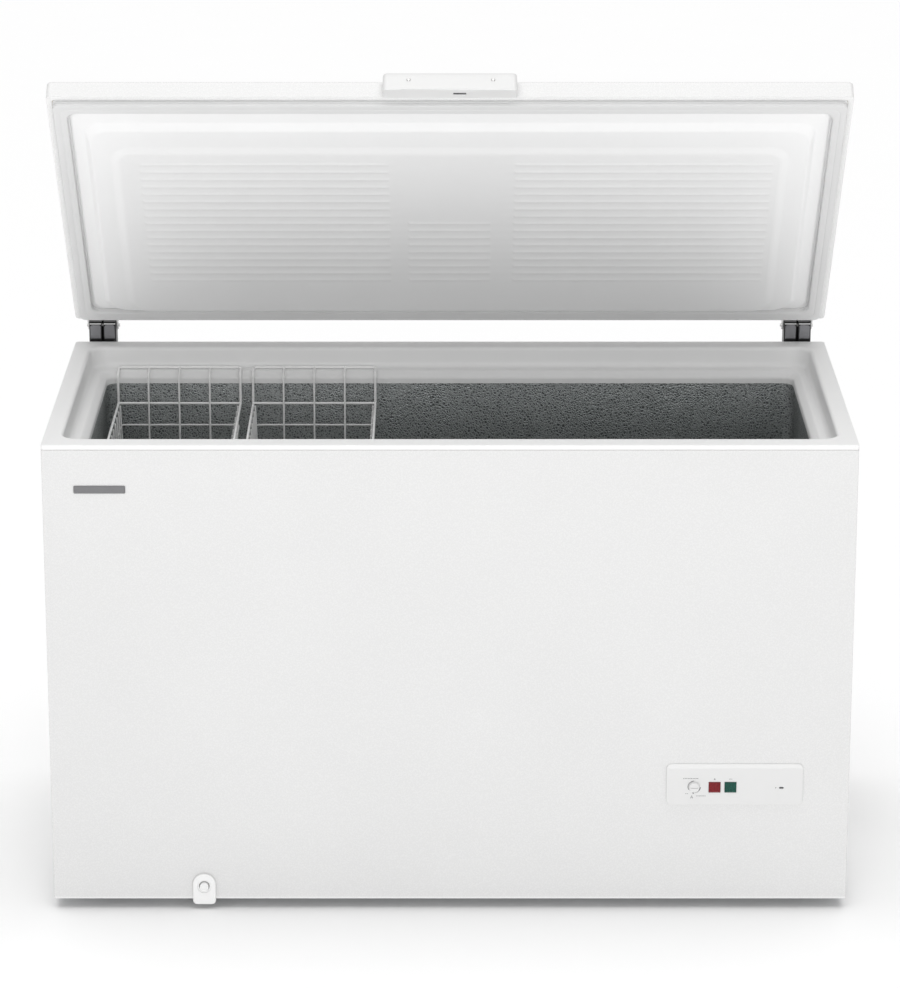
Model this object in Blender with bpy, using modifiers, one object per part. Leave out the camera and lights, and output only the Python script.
"""Chest freezer with a hinged lid, two sliding wire baskets, a thermostat dial and a drain.

Metres, +Z up. The origin is on the floor under the middle of the freezer, with its lid open.
X runs along the front from left to right, and Y runs from the front to the back.
Lid parts are modelled in the closed place and hang on an empty, turned to the open angle, on the hinge axis.
"""

import math

import bmesh
import bpy
from mathutils import Matrix, Vector

# Driving dimensions
WIDTH = 1.410
DEPTH = 0.660
PANEL_HEIGHT = 0.845
FOOT_HEIGHT = 0.018
LID_THICKNESS = 0.036
GASKET_HEIGHT = 0.0115
LID_REST_ANGLE = math.radians(51)
FRONT_REACH = 0.011
HINGE_REACH = 0.050
WALL = 0.0687
FLOOR_WALL = 0.065

# Sheet thicknesses and fits
SHEET = 0.0008
SKIN = 0.0020
GAP = 0.0003
TO_THE_FRONT = (math.radians(90), 0, 0)

# Places worked out from them
HALF_WIDTH = WIDTH / 2
SPAN = FRONT_REACH + DEPTH + HINGE_REACH
FRONT = FRONT_REACH - SPAN / 2
BACK = FRONT + DEPTH
BASE = FOOT_HEIGHT
RIM = BASE + PANEL_HEIGHT
WRAP_SIDE = HALF_WIDTH - 0.0005
SKIN_SIDE = WRAP_SIDE - SHEET - GAP
WRAP_TOP = RIM - 0.0095
LIP_HEIGHT = 0.0092

# Rim, throat and ledge of the top frame
RIM_SIDE = 0.033
RIM_END = 0.041
THROAT_DROP = 0.036
LEDGE_DROP = 0.038
LEDGE_WIDTH = 0.032

# Well
WELL_HALF = HALF_WIDTH - RIM_SIDE - LEDGE_WIDTH + 0.0033
WELL_FRONT = FRONT + WALL
WELL_BACK = BACK - WALL
WELL_FLOOR = BASE + FLOOR_WALL
WELL_TOP = RIM - 0.056
WELL_CORNER = 0.025
STEP_LEFT = 0.345
STEP_TOP = 0.353

# Compressor space under the step
BAY_LEFT = 0.395
BAY_TOP = 0.300
BAY_FLOOR = BASE + 0.002
VENT_NEAR, VENT_FAR = BACK - 0.300, BACK - 0.060
VENT_LOW, VENT_HIGH = 0.060, 0.200

# Feet
FOOT_X = 0.62
FOOT_INSET = 0.07

# Hinges
HINGE_X = 0.655
PIVOT_Y = BACK + 0.0373
PIVOT_Z = RIM + 0.0216
PIN_RADIUS = 0.003
HINGE_HALF = 0.0255
HINGE_DEEP = 0.115
HINGE_FLANGE = 0.040

# Lid, in its closed place
LID_BACK = BACK + 0.005
LID_BOTTOM = RIM + 0.012
LID_TOP = LID_BOTTOM + LID_THICKNESS
HEM_WIDTH = 0.010
GASKET_WIDTH = 0.025
HANDLE_HALF = 0.117
HANDLE_OUT = 0.032
HANDLE_ARCH = 0.004
HANDLE_CORNER = 0.008

# Baskets
BASKET_WIDTH = 0.233
LEFT_BASKET = -0.622
RIGHT_BASKET = -0.370
BASKET_RIM = RIM - 0.094
BASKET_BOTTOM = RIM - 0.290
BASKET_WALL = 0.003
WIRE_RADIUS = 0.0025
HANGER_Z = RIM - LEDGE_DROP + WIRE_RADIUS + GAP
HANGER_INSET = 0.054
BASKET_INSET = 0.082
BASKET_TAPER = 0.006

# Control panel
PANEL_LEFT, PANEL_RIGHT = 0.382, 0.6225
PANEL_LOW, PANEL_HIGH = 0.199, 0.275
LAMP_Z = 0.2319
LAMP_WIDTH, LAMP_HEIGHT = 0.0206, 0.0194
RED_X, GREEN_X = 0.4669, 0.4949
DIAL_X, DIAL_Z = 0.4308, 0.2328
DIAL_RADIUS = 0.0098
DIAL_HEIGHT = 0.0065
PANEL_FACE = FRONT - 0.0030
DIAL_BACK = PANEL_FACE - GAP

# Drain
DRAIN_X = -0.4368
DRAIN_Z = 0.0437
DRAIN_Y = FRONT + 0.130
DRAIN_BORE = 0.0125
SPOUT_RADIUS = 0.0080
SPOUT_LENGTH = 0.038
SPOUT_BACK = FRONT + 0.0346

# Compressor
COMPRESSOR_X, COMPRESSOR_Y = 0.550, BACK - 0.150
MOUNT_HEIGHT = 0.0155

# Refrigerant tube
TUBE_RADIUS = 0.0024
TUBE_DEPTH = 0.0030
GROOVE_RADIUS = 0.0042
TUBE_START = 0.262


# ---------------------------------------------------------------- helpers

def clear_scene():
    for item in list(bpy.data.objects):
        bpy.data.objects.remove(item, do_unlink=True)


def new_collection(name):
    collection = bpy.data.collections.new(name)
    bpy.context.scene.collection.children.link(collection)
    return collection


def make_material(name, colour, roughness, metallic=0.0):
    material = bpy.data.materials.new(name)
    material.use_nodes = True
    shader = material.node_tree.nodes["Principled BSDF"]
    shader.inputs["Base Color"].default_value = (*colour, 1.0)
    shader.inputs["Roughness"].default_value = roughness
    shader.inputs["Metallic"].default_value = metallic
    return material


def add_object(name, data, place, parent=None, material=None):
    """Links an object at a world place, or at a closed-lid place under the lid's empty.

    An object without a material is a cutter.
    """
    item = bpy.data.objects.new(name, data)
    item.location = Vector(place) - (parent.location if parent else Vector())
    item.parent = parent
    if material:
        data.materials.append(material)
    (PARTS if material else CUTTERS).objects.link(item)
    if not material:
        item.hide_render = True
        item.display_type = "WIRE"
    return item


def mesh_from(bm, name):
    bmesh.ops.recalc_face_normals(bm, faces=bm.faces)
    mesh = bpy.data.meshes.new(name)
    bm.to_mesh(mesh)
    bm.free()
    return mesh


def add_bevel(item, width, segments=2, angle=60):
    bevel = item.modifiers.new("rounded_edges", "BEVEL")
    bevel.width = width
    bevel.segments = segments
    bevel.limit_method = "ANGLE"
    bevel.angle_limit = math.radians(angle)
    return item


def box(name, low, high, material=None, parent=None, bevel=0.0, segments=2):
    low, high = Vector(low), Vector(high)
    bm = bmesh.new()
    bmesh.ops.create_cube(bm, size=1.0, matrix=Matrix.Diagonal((high - low).to_4d()))
    item = add_object(name, mesh_from(bm, name), (low + high) / 2, parent, material)
    if bevel:
        add_bevel(item, bevel, segments)
    return item


def cylinder(name, centre, radius, length, axis, material=None, parent=None, segments=20):
    turn = Vector((0, 0, 1)).rotation_difference(Vector(axis)).to_matrix().to_4x4()
    bm = bmesh.new()
    bmesh.ops.create_cone(bm, cap_ends=True, segments=segments, radius1=radius, radius2=radius,
                          depth=length, matrix=turn)
    item = add_object(name, mesh_from(bm, name), centre, parent, material)
    shade(item)
    return item


def turned(name, profile, place, material=None, parent=None, segments=24, tip=None):
    """Spins a (radius, height) profile round Z, from the axis at the top, down the outer side, to the axis."""
    mesh = bpy.data.meshes.new(name)
    edges = [(i, i + 1) for i in range(len(profile) - 1)]
    mesh.from_pydata([(radius, 0, height) for radius, height in profile], edges, [])
    item = add_object(name, mesh, place, parent, material)
    screw = item.modifiers.new("turned", "SCREW")
    screw.steps = screw.render_steps = segments
    screw.use_merge_vertices = True
    screw.merge_threshold = 0.00005
    if tip:
        item.rotation_euler = tip
    return item


def shade(item):
    item.data.shade_smooth()
    item.data.set_sharp_from_angle(angle=math.radians(35))


def boolean(item, other, operation="DIFFERENCE"):
    modifier = item.modifiers.new(other.name, "BOOLEAN")
    modifier.operation = operation
    modifier.object = other
    return item


def wire(name, points, radius, material=None, resolution=2):
    """A round wire along a path of points, made into a closed mesh."""
    curve = bpy.data.curves.new(name, "CURVE")
    curve.dimensions = "3D"
    curve.bevel_depth = radius
    curve.bevel_resolution = resolution
    curve.use_fill_caps = True
    spline = curve.splines.new("POLY")
    spline.points.add(len(points) - 1)
    for target, point in zip(spline.points, points):
        target.co = (*point, 1.0)
    source = bpy.data.objects.new(name + "_path", curve)
    CUTTERS.objects.link(source)
    source.hide_render = True
    bpy.context.view_layer.update()
    evaluated = source.evaluated_get(bpy.context.evaluated_depsgraph_get())
    mesh = bpy.data.meshes.new_from_object(evaluated)
    bpy.data.objects.remove(source, do_unlink=True)
    bm = bmesh.new()
    bm.from_mesh(mesh)
    bmesh.ops.remove_doubles(bm, verts=bm.verts, dist=0.00001)
    bm.to_mesh(mesh)
    bm.free()
    mesh.materials.clear()
    item = add_object(name, mesh, (0, 0, 0), None, material)
    shade(item)
    return item


def round_corners(points, radius, segments=4):
    """Replaces each inner corner of a path of straight runs with an arc."""
    points = [Vector(p) for p in points]
    path = [points[0]]
    for before, corner, after in zip(points, points[1:], points[2:]):
        reach_in = min(radius, (corner - before).length / 2.1)
        reach_out = min(radius, (after - corner).length / 2.1)
        start = corner + (before - corner).normalized() * reach_in
        end = corner + (after - corner).normalized() * reach_out
        for step in range(segments + 1):
            t = step / segments
            path.append(start.lerp(corner, t).lerp(corner.lerp(end, t), t))
    path.append(points[-1])
    return path


def flat_plate(name, outlines, thickness, place, turn, material):
    """A plate from 2D outlines, the first outside and the others holes, turned into its plane."""
    curve = bpy.data.curves.new(name, "CURVE")
    curve.dimensions = "2D"
    curve.fill_mode = "BOTH"
    curve.extrude = thickness / 2
    for outline in outlines:
        spline = curve.splines.new("POLY")
        spline.points.add(len(outline) - 1)
        for target, (x, y) in zip(spline.points, outline):
            target.co = (x, y, 0, 1)
        spline.use_cyclic_u = True
    source = bpy.data.objects.new(name + "_outline", curve)
    CUTTERS.objects.link(source)
    bpy.context.view_layer.update()
    mesh = bpy.data.meshes.new_from_object(source.evaluated_get(bpy.context.evaluated_depsgraph_get()))
    bpy.data.objects.remove(source, do_unlink=True)
    bm = bmesh.new()
    bm.from_mesh(mesh)
    bmesh.ops.remove_doubles(bm, verts=bm.verts, dist=0.00001)
    mesh.materials.clear()
    item = add_object(name, mesh_from(bm, name), place, None, material)
    item.rotation_euler = turn
    return item


def rectangle(low_x, low_y, high_x, high_y):
    return [(low_x, low_y), (high_x, low_y), (high_x, high_y), (low_x, high_y)]


def rounded_loop(half_x, low_y, high_y, radius, z, segments=5):
    """A rounded rectangle at one height, as points round it."""
    loop = []
    corners = ((1, high_y, 0), (-1, high_y, 90), (-1, low_y, 180), (1, low_y, 270))
    for side, y, start in corners:
        centre_x = side * (half_x - radius)
        centre_y = y - radius if y == high_y else y + radius
        for step in range(segments + 1):
            angle = math.radians(start + 90 * step / segments)
            loop.append((centre_x + radius * math.cos(angle), centre_y + radius * math.sin(angle), z))
    return loop


def loft(name, loops, place, material=None, parent=None, closed=False, caps=(False, False)):
    """Faces between matching loops. A closed profile joins the last loop to the first."""
    bm = bmesh.new()
    rows = [[bm.verts.new(Vector(point) - Vector(place)) for point in loop] for loop in loops]
    pairs = list(zip(rows, rows[1:]))
    if closed:
        pairs.append((rows[-1], rows[0]))
    for lower, upper in pairs:
        for i in range(len(lower)):
            j = (i + 1) % len(lower)
            bm.faces.new((lower[i], lower[j], upper[j], upper[i]))
    for row, cap in zip((rows[0], rows[-1]), caps):
        if cap:
            bm.faces.new(row)
    item = add_object(name, mesh_from(bm, name), place, parent, material)
    shade(item)
    return item


def inset_loop(side, end, drop, radius, top=RIM):
    """A loop of the freezer's outline, moved in by side and end, at a drop below the rim."""
    return rounded_loop(HALF_WIDTH - side, FRONT + end, BACK - end, radius, top - drop)


# ---------------------------------------------------------------- cabinet

def make_wrap():
    """The front and both sides, folded from one sheet, with the vent and control openings."""
    fold = 0.0012
    face = FRONT + 0.0005
    path = [(-WRAP_SIDE, BACK, 0), (-WRAP_SIDE, face, 0), (WRAP_SIDE, face, 0), (WRAP_SIDE, BACK, 0)]
    path = round_corners(path, fold, 3)
    bm = bmesh.new()
    low = [bm.verts.new((p.x, p.y, BASE)) for p in path]
    high = [bm.verts.new((p.x, p.y, WRAP_TOP)) for p in path]
    for i in range(len(path) - 1):
        bm.faces.new((low[i], low[i + 1], high[i + 1], high[i]))
    mesh = bpy.data.meshes.new("outer_wrap")
    bm.to_mesh(mesh)
    bm.free()
    wrap = add_object("outer_wrap", mesh, (0, 0, 0), None, ENAMEL)
    solidify = wrap.modifiers.new("sheet", "SOLIDIFY")
    solidify.thickness = SHEET
    solidify.offset = -1
    reach = 0.01
    margin = 0.008
    panel_low = (PANEL_LEFT + margin, FRONT - reach, PANEL_LOW + margin)
    panel_high = (PANEL_RIGHT - margin, FRONT + reach, PANEL_HIGH - margin)
    vent_low = (HALF_WIDTH - reach, VENT_NEAR, VENT_LOW)
    vent_high = (HALF_WIDTH + reach, VENT_FAR, VENT_HIGH)
    boolean(wrap, box("panel_opening", panel_low, panel_high))
    boolean(wrap, box("vent_opening", vent_low, vent_high))
    spout_place = (DRAIN_X, FRONT, DRAIN_Z)
    boolean(wrap, cylinder("spout_opening", spout_place, SPOUT_RADIUS + 0.001, 2 * reach, (0, 1, 0)))
    shade(wrap)


def slots(columns, low, count, pitch, width, height):
    """Outlines of slots in columns, from the lowest up."""
    rows = [low + row * pitch for row in range(count)]
    return [rectangle(column, z, column + width, z + height) for column in columns for z in rows]


def make_back():
    """The back sheet, cut away behind the compressor space, and the slotted cover that closes it."""
    side = SKIN_SIDE
    low, top = BASE + SHEET + GAP, WRAP_TOP
    inner = BAY_LEFT - GAP
    bay = BAY_TOP + GAP
    outline = [(-side, low), (inner, low), (inner, bay), (side, bay), (side, top), (-side, top)]
    upright = (math.radians(90), 0, 0)
    place = (0, BACK - SHEET / 2, 0)
    flat_plate("back_panel", [outline], SHEET, place, upright, GALVANISED)
    cover = [rectangle(BAY_LEFT + GAP, BAY_FLOOR + GAP, side, BAY_TOP - GAP)]
    cover += slots((0.425, 0.565), low=0.060, count=8, pitch=0.022, width=0.100, height=0.006)
    flat_plate("service_cover", cover, SHEET, place, upright, GALVANISED)
    gland = [(0, 0.0090), (0.0045, 0.0090), (0.0075, 0.0080), (0.0085, 0.0030),
             (0.0125, 0.0025), (0.0130, 0), (0, 0)]
    to_the_back = (math.radians(-90), 0, 0)
    turned("power_inlet", gland, (0.660, BACK + GAP, 0.262), BLACK, tip=to_the_back, segments=20)


def make_vent_grille():
    """A louvred plate, flush in the opening of the right side."""
    thickness = 0.002
    near, far = VENT_NEAR + GAP, VENT_FAR - GAP
    low, high = VENT_LOW + GAP, VENT_HIGH - GAP
    columns = (0.012 - far, 0.004 - (near + far) / 2)
    outlines = [rectangle(-far, low, -near, high)]
    outlines += slots(columns, low=low + 0.012, count=8, pitch=0.0152, width=0.103, height=0.007)
    facing_right = (math.radians(90), 0, math.radians(-90))
    place = (WRAP_SIDE - thickness / 2, 0, 0)
    flat_plate("side_vent_grille", outlines, thickness, place, facing_right, PLASTIC_WHITE)


def make_base():
    side = SKIN_SIDE
    near, far = FRONT + 0.0018, BACK - GAP
    box("base_pan", (-side, near, BASE), (BAY_LEFT - GAP, far, BASE + SHEET), GALVANISED)
    box("machine_plate", (BAY_LEFT + GAP, near, BASE), (side, far, BAY_FLOOR), GALVANISED)
    top = FOOT_HEIGHT - GAP
    foot = [(0, top), (0.014, top), (0.016, 0.008), (0.021, 0.006), (0.021, 0.001), (0.020, 0), (0, 0)]
    for side_name, x in (("left", -FOOT_X), ("right", FOOT_X)):
        for end_name, y in (("front", FRONT + FOOT_INSET), ("back", BACK - FOOT_INSET)):
            turned(f"foot_{end_name}_{side_name}", foot, (x, y, 0), BLACK, segments=20)


def well_solid(name, grow, top):
    """The well's space as a solid, grown by the thickness of what is round it, with the step left out."""
    floor = WELL_FLOOR - grow
    half, near, far = WELL_HALF + grow, WELL_FRONT - grow, WELL_BACK + grow
    loops = [rounded_loop(half, near, far, WELL_CORNER + grow, z) for z in (floor, top)]
    well = loft(name, loops, (0, 0, (floor + top) / 2), caps=(True, True))
    beyond = 0.1
    step_low = (STEP_LEFT + grow, FRONT - beyond, floor - beyond)
    step_high = (HALF_WIDTH + beyond, BACK + beyond, STEP_TOP - grow)
    return boolean(well, box(name + "_step", step_low, step_high))


def make_liner():
    """The embossed well. It starts as a cutter-like solid, so it's moved to the visible pieces."""
    liner = well_solid("inner_liner", SHEET, WELL_TOP)
    CUTTERS.objects.unlink(liner)
    PARTS.objects.link(liner)
    liner.hide_render = False
    liner.display_type = "TEXTURED"
    liner.data.materials.append(LINER)
    boolean(liner, well_solid("well_space", 0, RIM + 0.02))
    boolean(liner, cylinder("drain_hole", (DRAIN_X, DRAIN_Y, WELL_FLOOR), DRAIN_BORE, 0.03, (0, 0, 1)))


def condenser_path():
    """Four runs round the right side, the front and the left side, just inside the outer skin."""
    side = SKIN_SIDE - GAP - TUBE_DEPTH
    front = FRONT + 0.0016 + GAP + TUBE_DEPTH
    back = BACK - 0.060
    levels = (0.420, 0.540, 0.660, 0.780)
    points = [(COMPRESSOR_X + 0.06, BACK - 0.09, TUBE_START), (side, back, TUBE_START)]
    for index, z in enumerate(levels):
        run = [(side, back, z), (side, front, z), (-side, front, z), (-side, back, z)]
        points += run if index % 2 == 0 else run[::-1]
    inner = side - 0.016
    behind = back + 0.024
    top = levels[-1]
    points += [(side, behind, top), (inner, behind, top - 0.02), (inner, behind, 0.270)]
    return round_corners(points, 0.018, 3)


def evaporator_path():
    """Three falling turns round the outside of the liner, fed and returned through the back wall."""
    clear = SHEET + GAP + TUBE_DEPTH
    side = WELL_HALF + clear
    front = WELL_FRONT - clear
    back = WELL_BACK + clear
    deep = BACK - 0.030
    feed, outlet = COMPRESSOR_X - 0.05, COMPRESSOR_X + 0.05
    top, drop, turns = 0.750, 0.120, 3
    points = [(feed, deep, TUBE_START), (feed, deep, top + 0.02), (feed, back, top + 0.02)]
    for turn in range(turns):
        z = top - turn * drop
        points += [(-side, back, z), (-side, front, z - drop * 0.3)]
        points += [(side, front, z - drop * 0.6), (side, back, z - drop * 0.8)]
    away = deep + 0.012
    points += [(outlet, back, 0.400), (outlet, away, 0.380), (outlet, away, TUBE_START)]
    return round_corners(points, 0.030, 4)


def drain_path():
    """From under the drain plug down to the outlet's level, then forward."""
    top = (DRAIN_X, DRAIN_Y, WELL_FLOOR - 0.014)
    corner = (DRAIN_X, DRAIN_Y, DRAIN_Z)
    return round_corners([top, corner, (DRAIN_X, FRONT + 0.035, DRAIN_Z)], 0.016, 4)


def make_foam():
    """The insulation: a block with the well, the compressor space, the tubes and the drain cut out of it."""
    skin = SHEET + GAP
    low = (-SKIN_SIDE, FRONT + 0.0005 + skin, BASE + skin)
    high = (SKIN_SIDE, BACK - skin, RIM - 0.0125)
    foam = box("foam_core", low, high, FOAM)
    throat = [inset_loop(0.0295, 0.0375, drop, 0.030) for drop in (0.055, -0.02)]
    boolean(foam, loft("throat_space", throat, (0, 0, RIM), caps=(True, True)))
    boolean(foam, well_solid("liner_space", skin, RIM + 0.02))
    beyond = 0.1
    bay_low = (BAY_LEFT, FRONT - beyond, BASE - beyond)
    bay_high = (HALF_WIDTH + beyond, BACK + beyond, BAY_TOP)
    boolean(foam, box("compressor_space", bay_low, bay_high))
    for name, path in (("condenser", condenser_path()), ("evaporator", evaporator_path())):
        boolean(foam, wire(name + "_groove", path, GROOVE_RADIUS, resolution=0))
        wire(name + "_coil", path, TUBE_RADIUS, COPPER, resolution=1)
    bore = [Vector(point) for point in drain_path()]
    above, ahead = Vector((0, 0, 0.04)), Vector((0, 0.05, 0))
    bore = [bore[0] + above, *bore, bore[-1] - ahead]
    boolean(foam, wire("drain_bore", bore, DRAIN_BORE, resolution=4))


def make_top_frame():
    """Outer lip, flat rim, throat wall, basket ledge and inner lip, as one moulded skin."""
    side, end = RIM_SIDE, RIM_END
    inner_side, inner_end = side + LEDGE_WIDTH, end + LEDGE_WIDTH - 0.0015
    profile = [
        (0.0000, 0.0000, LIP_HEIGHT, 0.006),
        (0.0000, 0.0000, 0.0015, 0.006),
        (0.0015, 0.0015, 0.0000, 0.006),
        (side - 0.0025, end - 0.0025, 0.0000, 0.032),
        (side, end, 0.0025, 0.030),
        (side + 0.0015, end + 0.0015, THROAT_DROP - 0.004, 0.030),
        (side + 0.0040, end + 0.0040, LEDGE_DROP, 0.028),
        (side + 0.0180, end + 0.0180, LEDGE_DROP + 0.001, 0.026),
        (inner_side - 0.0015, inner_end - 0.0015, 0.0490, 0.022),
        (inner_side, inner_end, 0.0525, 0.021),
        (inner_side, inner_end, 0.0620, 0.021),
    ]
    loops = [inset_loop(*point) for point in profile]
    frame = loft("top_frame", loops, (0, 0, RIM), PLASTIC_WHITE)
    solidify = frame.modifiers.new("skin", "SOLIDIFY")
    solidify.thickness = SKIN
    solidify.offset = -1


def make_badge():
    left, width, height = -0.650, 0.0894, 0.014
    low = RIM - 0.0875
    near, far = FRONT - 0.0009, FRONT + 0.0005 - GAP
    box("badge_plate", (left, near, low), (left + width, far, low + height), METAL, bevel=0.0003)


# ---------------------------------------------------------------- controls

def around(x, z, width, height, near, far):
    """The low and high corners of a box centred at x and z, from near to far in Y."""
    return (x - width / 2, near, z - height / 2), (x + width / 2, far, z + height / 2)


def make_controls():
    lamps = (("red_lamp_lens", RED_X, RED), ("green_lamp_lens", GREEN_X, GREEN))
    bezel_low = (PANEL_LEFT, PANEL_FACE, PANEL_LOW)
    bezel_high = (PANEL_RIGHT, FRONT + 0.0005 - GAP, PANEL_HIGH)
    bezel = box("control_bezel", bezel_low, bezel_high, PLASTIC_WHITE)
    for name, x, material in lamps:
        window = around(x, LAMP_Z, LAMP_WIDTH + 2 * GAP, LAMP_HEIGHT + 2 * GAP, FRONT - 0.02, FRONT + 0.02)
        boolean(bezel, box(name + "_window", *window))
        lens = around(x, LAMP_Z, LAMP_WIDTH, LAMP_HEIGHT, FRONT - 0.0045, FRONT + 0.0040)
        box(name, *lens, material, bevel=0.0006)
    boolean(bezel, cylinder("shaft_hole", (DIAL_X, FRONT, DIAL_Z), 0.0040, 0.04, (0, 1, 0), segments=12))
    board_low = (RED_X - 0.014, FRONT + 0.0044, LAMP_Z - 0.014)
    board_high = (GREEN_X + 0.020, FRONT + 0.0164, LAMP_Z + 0.014)
    box("lamp_board", board_low, board_high, BLACK)
    body_low = (DIAL_X - 0.018, FRONT + 0.0040, DIAL_Z - 0.015)
    body_high = (DIAL_X + 0.018, FRONT + 0.0400, DIAL_Z + 0.022)
    thermostat = box("thermostat", body_low, body_high, METAL)
    shaft_place = (DIAL_X, FRONT + 0.0035, DIAL_Z)
    shaft = cylinder("thermostat_shaft", shaft_place, 0.0030, 0.0132, (0, 1, 0), segments=12)
    boolean(thermostat, shaft, "UNION")
    make_dial()


def make_dial():
    """A low knob with a coin slot, turning on the thermostat's shaft."""
    edge, height = DIAL_RADIUS, DIAL_HEIGHT
    profile = [(0, height), (edge - 0.0022, height), (edge - 0.0012, height - 0.0008),
               (edge, 0.0008), (edge, 0), (0, 0)]
    dial = turned("dial", profile, (DIAL_X, DIAL_BACK, DIAL_Z), PLASTIC_WHITE, tip=TO_THE_FRONT, segments=28)
    slot_length, slot_width, slot_depth = 0.0124, 0.0016, 0.0018
    slot = around(DIAL_X, DIAL_Z, slot_length, slot_width, DIAL_BACK - 0.02, DIAL_BACK - height + slot_depth)
    boolean(dial, box("coin_slot", *slot))


# ---------------------------------------------------------------- drain

def make_drain():
    """The outlet's arched housing, its tube, the pull-out spout with its turning cap, and the well's plug."""
    low, high, half, thickness = 0.009, 0.067, 0.0206, 0.0070
    arch = [(-half, low)]
    for step in range(11):
        angle = math.radians(18 * step)
        arch.append((half * math.cos(angle), high - half + half * math.sin(angle)))
    arch.insert(1, (half, low))
    hole_radius, points = SPOUT_RADIUS + 0.0014, 20
    hole = []
    for step in range(points):
        angle = step * math.tau / points
        hole.append((hole_radius * math.cos(angle), DRAIN_Z + hole_radius * math.sin(angle)))
    place = (DRAIN_X, FRONT - GAP - thickness / 2, 0)
    flat_plate("drain_housing", [arch, hole], thickness, place, TO_THE_FRONT, PLASTIC_WHITE)
    wire("drain_tube", drain_path(), SPOUT_RADIUS + 0.002, PLASTIC_WHITE, resolution=3)
    spout_place = (DRAIN_X, SPOUT_BACK - SPOUT_LENGTH / 2, DRAIN_Z)
    cylinder("drain_spout", spout_place, SPOUT_RADIUS, SPOUT_LENGTH, (0, 1, 0), PLASTIC_WHITE)
    cap_back = SPOUT_BACK - SPOUT_LENGTH - GAP
    cap_face = FRONT - FRONT_REACH
    cap_height, edge = cap_back - cap_face, 0.0016
    profile = [(0, cap_height), (SPOUT_RADIUS - edge, cap_height), (SPOUT_RADIUS, cap_height - edge),
               (SPOUT_RADIUS, 0), (0, 0)]
    cap_place = (DRAIN_X, cap_back, DRAIN_Z)
    cap = turned("drain_cap", profile, cap_place, PLASTIC_WHITE, tip=TO_THE_FRONT, segments=24)
    mark_length, mark_width, mark_depth = 0.005, 0.002, 0.0012
    mark_z = DRAIN_Z + mark_length / 2
    mark = around(DRAIN_X, mark_z, mark_width, mark_length, cap_face - 0.01, cap_face + mark_depth)
    boolean(cap, box("cap_mark", *mark))
    stem = DRAIN_BORE - 0.001
    profile = [(0, 0.0050), (0.0060, 0.0050), (0.0075, 0.0030), (0.0165, 0.0026), (0.0170, GAP), (stem, GAP),
               (stem - 0.0005, -0.0125), (0, -0.0125)]
    turned("drain_plug", profile, (DRAIN_X, DRAIN_Y, WELL_FLOOR), PLASTIC_WHITE, segments=24)


# ---------------------------------------------------------------- machinery

def make_machinery():
    """The compressor on its rubber mounts, with its terminal cover, and the filter drier behind it."""
    x, y = COMPRESSOR_X, COMPRESSOR_Y
    plate_low = BAY_FLOOR + MOUNT_HEIGHT + 2 * GAP
    plate_high = plate_low + 0.003
    plate = ((x - 0.095, y - 0.060, plate_low), (x + 0.095, y + 0.060, plate_high))
    box("compressor_base", *plate, BLACK_STEEL, bevel=0.001, segments=1)
    can, seam = 0.080, 0.083
    shell = [(0, 0.165), (0.030, 0.163), (0.058, 0.154), (0.074, 0.136), (can, 0.110), (can, 0.094),
             (seam, 0.092), (seam, 0.086), (can, 0.084), (can, 0.045), (0.074, 0.020), (0.060, 0.006),
             (0.045, 0), (0, 0)]
    turned("compressor", shell, (x, y, plate_high + GAP), BLACK_STEEL, segments=28)
    cover_right = x - seam - 0.0005
    cover = ((cover_right - 0.038, y - 0.025, plate_high + 0.045), (cover_right, y + 0.025, plate_high + 0.100))
    box("terminal_cover", *cover, BLACK, bevel=0.003)
    high = MOUNT_HEIGHT
    mount = [(0, high), (0.008, high), (0.011, high * 0.75), (0.008, high * 0.5),
             (0.012, high * 0.2), (0.012, 0), (0, 0)]
    for end_name, dy in (("front", -0.045), ("back", 0.045)):
        for side_name, dx in (("left", -0.080), ("right", 0.080)):
            place = (x + dx, y + dy, BAY_FLOOR + GAP)
            turned(f"compressor_mount_{end_name}_{side_name}", mount, place, BLACK, segments=14)
    neck, body = 0.004, 0.0095
    drier = [(0, 0.110), (neck, 0.110), (neck, 0.095), (body, 0.085),
             (body, 0.025), (neck, 0.015), (neck, 0), (0, 0)]
    place = (SKIN_SIDE - GAP - TUBE_DEPTH - 0.016, BACK - 0.036, 0.155)
    turned("filter_drier", drier, place, COPPER, segments=14)


# ---------------------------------------------------------------- hinges

def make_hinge_body(name, x):
    """A folded housing behind the cabinet, with two round-topped lobes above the rim and a screw flange."""
    half, wall = HINGE_HALF, 0.002
    near, far = BACK + 0.0133, BACK + HINGE_REACH
    top, foot = PIVOT_Z + 0.012, RIM - HINGE_DEEP
    body = box(name, (x - half, near, RIM - 0.030), (x + half, far, top), HINGE_STEEL)
    add_bevel(body, 0.004, 2)
    lower = box(name + "_lower", (x - half, BACK + GAP, foot), (x + half, far, RIM - 0.005))
    flange_low = (x - HINGE_FLANGE, BACK + GAP, RIM - 0.112)
    flange = box(name + "_flange", flange_low, (x + HINGE_FLANGE, BACK + GAP + wall, RIM - 0.020))
    cavity_low = (x - half + wall, near + wall, foot - 0.01)
    cavity = box(name + "_cavity", cavity_low, (x + half - wall, far - wall, top - wall))
    slot = box(name + "_slot", (x - 0.0018, BACK, RIM - 0.004), (x + 0.0018, far - 0.006, top + 0.01))
    hole = cylinder(name + "_pin_hole", (x, PIVOT_Y, PIVOT_Z), PIN_RADIUS + GAP, 0.070, (1, 0, 0), segments=12)
    boolean(body, lower, "UNION")
    boolean(body, flange, "UNION")
    for cutter in (cavity, slot, hole):
        boolean(body, cutter)


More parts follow.
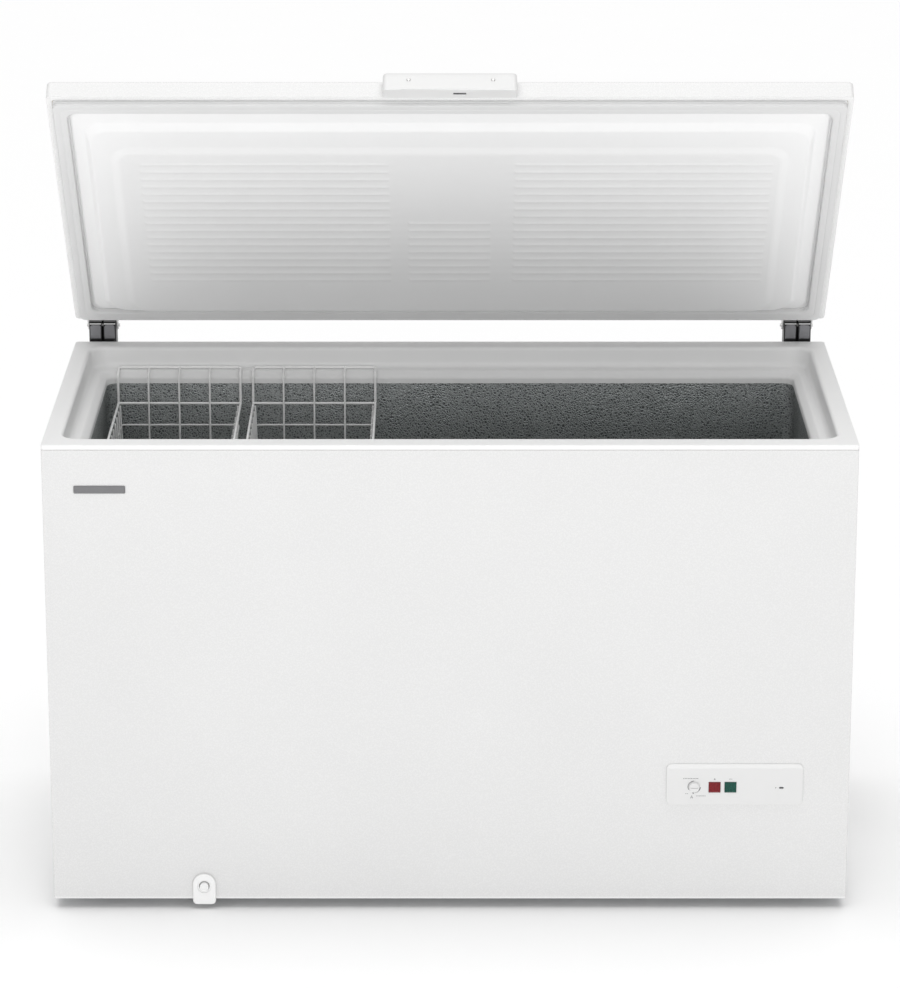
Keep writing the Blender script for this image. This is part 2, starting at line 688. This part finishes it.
def make_spring(name, x):
    """The compression spring that carries the lid's weight, standing in the hinge's housing."""
    turns, steps, radius = 7, 10, 0.0115
    low, high = RIM - 0.105, RIM - 0.022
    count = turns * steps
    centre_y = BACK + 0.0315
    points = []
    for i in range(count + 1):
        angle = i * math.tau / steps
        z = low + (high - low) * i / count
        points.append((x + radius * math.cos(angle), centre_y + radius * math.sin(angle), z))
    wire(name, points, 0.0013, METAL, resolution=1)


def make_leaf(name, x, lid):
    """The lid's half of a hinge: a plate on the lid's back edge with a cheek at each side of the housing."""
    inner = HINGE_HALF + 0.0007
    outer = inner + 0.0023
    plate_front = LID_BACK + GAP
    cheek_front = plate_front + 0.0005
    ear = 0.008
    low, high = PIVOT_Z - 0.006, LID_TOP - 0.001
    leaf = box(name, (x - outer, plate_front, low), (x + outer, plate_front + 0.002, high), ENAMEL, parent=lid)
    outline = [(cheek_front, high), (cheek_front, low)]
    for step in range(9):
        angle = math.radians(-110 + step * 22.5)
        outline.append((PIVOT_Y + ear * math.cos(angle), PIVOT_Z + ear * math.sin(angle)))
    for side_name, side in (("left", -1), ("right", 1)):
        near, far = sorted((x + side * inner, x + side * outer))
        loops = [[(across, y, z) for y, z in outline] for across in (near, far)]
        place = ((near + far) / 2, PIVOT_Y, PIVOT_Z)
        cheek = loft(f"{name}_{side_name}_cheek", loops, place, parent=lid, caps=(True, True))
        boolean(leaf, cheek, "UNION")
    pivot, along = (x, PIVOT_Y, PIVOT_Z), (1, 0, 0)
    hole = cylinder(name + "_pin_hole", pivot, PIN_RADIUS + GAP, 0.080, along, parent=lid, segments=12)
    boolean(leaf, hole)


def make_hinges(lid):
    for side_name, x in (("left", -HINGE_X), ("right", HINGE_X)):
        make_hinge_body(f"hinge_body_{side_name}", x)
        make_spring(f"hinge_spring_{side_name}", x)
        make_leaf(f"hinge_leaf_{side_name}", x, lid)
        pivot, along = (x, PIVOT_Y, PIVOT_Z), (1, 0, 0)
        cylinder(f"hinge_pin_{side_name}", pivot, PIN_RADIUS, 0.062, along, METAL, segments=12)


# ---------------------------------------------------------------- lid

def lid_loop(inset, z, radius, side=None, back=None):
    """A loop of the lid's outline, moved in by inset at the front, and by side and back if they differ."""
    side = inset if side is None else side
    back = inset if back is None else back
    return rounded_loop(HALF_WIDTH - side, FRONT + inset, LID_BACK - back, radius, z)


def make_lid(lid):
    """Steel shell, foam, moulded liner with a ramped raised panel, seal and handle."""
    centre = (0, (FRONT + LID_BACK) / 2, LID_BOTTOM)
    corner = 0.008
    outer = [lid_loop(0, LID_BOTTOM, corner), lid_loop(0, LID_TOP - 0.005, corner),
             lid_loop(0.0015, LID_TOP - 0.0015, corner), lid_loop(0.005, LID_TOP, corner)]
    shell = loft("lid_shell", outer, centre, ENAMEL, lid, caps=(False, True))
    solidify = shell.modifiers.new("sheet", "SOLIDIFY")
    solidify.thickness = SHEET
    solidify.offset = -1
    skin, top_edge = 0.0012, 0.0066
    foam = [lid_loop(skin, LID_BOTTOM + 0.0030, 0.007), lid_loop(skin, LID_TOP - top_edge, 0.007),
            lid_loop(top_edge, LID_TOP - skin, 0.007)]
    loft("lid_foam", foam, centre, FOAM, lid, caps=(True, True))
    face = LID_BOTTOM + 0.0005
    flange = HEM_WIDTH + GASKET_WIDTH + 0.002
    raised = [
        (flange, flange, flange, 0.0000, 0.020),
        (flange + 0.0070, flange + 0.0030, flange + 0.0035, 0.0045, 0.022),
        (0.090, 0.062, 0.0440, 0.0060, 0.030),
        (0.108, 0.066, 0.0485, 0.0140, 0.034),
        (0.170, 0.100, 0.0495, 0.0160, 0.038),
        (0.190, 0.116, 0.0520, 0.0195, 0.042),
    ]
    liner = [lid_loop(0.0016, face, 0.007)]
    for front, side, back, height, radius in raised:
        liner.append(lid_loop(front, face - height, radius, side, back))
    panel = loft("lid_liner", liner, centre, PLASTIC_WHITE, lid, caps=(False, True))
    solidify = panel.modifiers.new("skin", "SOLIDIFY")
    solidify.thickness = SKIN
    solidify.offset = 1
    low, high = LID_BOTTOM - GASKET_HEIGHT, face - GAP
    middle = (low + high) / 2
    near, far = HEM_WIDTH, HEM_WIDTH + GASKET_WIDTH
    gasket = [lid_loop(near + 0.001, high, 0.010), lid_loop(near, middle, 0.011), lid_loop(near + 0.002, low, 0.010),
              lid_loop(far - 0.003, low, 0.016), lid_loop(far, middle, 0.018), lid_loop(far - 0.001, high, 0.018)]
    loft("lid_gasket", gasket, centre, GASKET, lid, closed=True)
    make_handle(lid)


def handle_section(x):
    """The handle's outline across the lid's front edge. It's arched below and rounded towards its ends."""
    arch = HANDLE_ARCH * (1 - (x / HANDLE_HALF) ** 2)
    past = max(0, abs(x) - HANDLE_HALF + HANDLE_CORNER)
    out = HANDLE_OUT - HANDLE_CORNER + math.sqrt(HANDLE_CORNER ** 2 - past ** 2)
    outline = [(GAP, -0.004), (out - 0.003, arch - 0.010), (out, arch - 0.007), (out, 0.019),
               (out - 0.007, 0.0335), (out - 0.009, 0.034), (GAP, 0.034)]
    return [(x, FRONT - distance, LID_BOTTOM + height) for distance, height in outline]


def make_handle(lid):
    """A solid moulded pull along the lid's front edge, with a plain inset below and two screws in front."""
    end = HANDLE_HALF - HANDLE_CORNER
    rounded = [HANDLE_HALF - 0.0002, HANDLE_HALF - 0.0016, HANDLE_HALF - 0.0040]
    half_places = rounded + [end, end * 0.67, end * 0.33]
    places = [-x for x in half_places] + [0] + half_places[::-1]
    loops = [handle_section(x) for x in places]
    handle = loft("lid_handle", loops, (0, FRONT, LID_BOTTOM), PLASTIC_WHITE, lid, caps=(True, True))
    left, right, near, far = 0.006, 0.028, FRONT - 0.019, FRONT - 0.013
    plate_low, plate_high = LID_BOTTOM - 0.0047, LID_BOTTOM - 0.0042
    boolean(handle, box("inset_recess", (left - GAP, near - GAP, LID_BOTTOM - 0.02),
                        (right + GAP, far + GAP, plate_high + GAP), parent=lid))
    box("handle_inset", (left, near, plate_low), (right, far, plate_high), METAL, lid)
    head = [(0, 0.0015), (0.0026, 0.0013), (0.0036, 0.0004), (0.0036, GAP), (0, GAP)]
    for side_name, x in (("left", -0.072), ("right", 0.075)):
        place = (x, FRONT - HANDLE_OUT, LID_BOTTOM + 0.012)
        turned(f"handle_screw_{side_name}", head, place, METAL, lid, segments=14, tip=TO_THE_FRONT)


# ---------------------------------------------------------------- baskets

def make_basket(name, left):
    """A tray with the outer shape of the wire basket, hung on the ledge by a hoop at each end."""
    right = left + BASKET_WIDTH
    near, far = FRONT + BASKET_INSET, BACK - BASKET_INSET
    middle = ((left + right) / 2, 0, BASKET_RIM)

    def loop(inset, z):
        low_x, high_x, low_y, high_y = left + inset, right - inset, near + inset, far - inset
        return [(x, y, z) for x, y in rectangle(low_x, low_y, high_x, high_y)]

    wall = BASKET_WALL
    outer = [loop(BASKET_TAPER, BASKET_BOTTOM), loop(0, BASKET_RIM)]
    inner = [loop(BASKET_TAPER + wall, BASKET_BOTTOM + wall), loop(wall, BASKET_RIM + 0.002)]
    tray = loft(f"{name}_tray", outer, middle, WIRE_WHITE, caps=(True, True))
    boolean(tray, loft(f"{name}_hollow", inner, middle, caps=(True, True)))
    low, bend = BASKET_RIM + GAP, HANGER_Z - 0.006
    first, last = left + WIRE_RADIUS, right - WIRE_RADIUS
    ends = (("front", near + WIRE_RADIUS, FRONT + HANGER_INSET),
            ("rear", far - WIRE_RADIUS, BACK - HANGER_INSET))
    for end_name, inside, hang in ends:
        points = [(first, inside, low), (first, inside, bend), (first, hang, HANGER_Z),
                  (last, hang, HANGER_Z), (last, inside, bend), (last, inside, low)]
        wire(f"{name}_{end_name}_hanger", round_corners(points, 0.007, 3), WIRE_RADIUS, WIRE_WHITE)


# ---------------------------------------------------------------- build

clear_scene()
PARTS = new_collection("chest_freezer")
CUTTERS = new_collection("cutters")
ENAMEL = make_material("white_enamel", (0.84, 0.84, 0.84), 0.28)
PLASTIC_WHITE = make_material("white_plastic", (0.82, 0.82, 0.82), 0.40)
GASKET = make_material("pale_gasket", (0.66, 0.66, 0.66), 0.60)
WIRE_WHITE = make_material("coated_wire", (0.80, 0.80, 0.80), 0.35)
LINER = make_material("embossed_liner", (0.20, 0.22, 0.22), 0.42, 0.7)
GALVANISED = make_material("galvanised_steel", (0.55, 0.56, 0.57), 0.45, 0.9)
HINGE_STEEL = make_material("dark_hinge_steel", (0.09, 0.09, 0.095), 0.35, 0.8)
METAL = make_material("plain_metal", (0.55, 0.55, 0.56), 0.30, 1.0)
COPPER = make_material("copper_tube", (0.72, 0.37, 0.22), 0.30, 1.0)
BLACK_STEEL = make_material("black_paint", (0.02, 0.02, 0.02), 0.35)
BLACK = make_material("black_rubber", (0.03, 0.03, 0.03), 0.70)
FOAM = make_material("insulation_foam", (0.75, 0.65, 0.38), 0.90)
RED = make_material("red_lens", (0.28, 0.03, 0.04), 0.25)
GREEN = make_material("green_lens", (0.03, 0.13, 0.10), 0.25)

lid_pivot = bpy.data.objects.new("lid_pivot", None)
lid_pivot.location = (0, PIVOT_Y, PIVOT_Z)
lid_pivot.rotation_euler = (-LID_REST_ANGLE, 0, 0)
PARTS.objects.link(lid_pivot)

make_wrap()
make_back()
make_vent_grille()
make_base()
make_liner()
make_foam()
make_top_frame()
make_badge()
make_controls()
make_drain()
make_machinery()
make_hinges(lid_pivot)
make_lid(lid_pivot)
make_basket("left_basket", LEFT_BASKET)
make_basket("right_basket", RIGHT_BASKET)
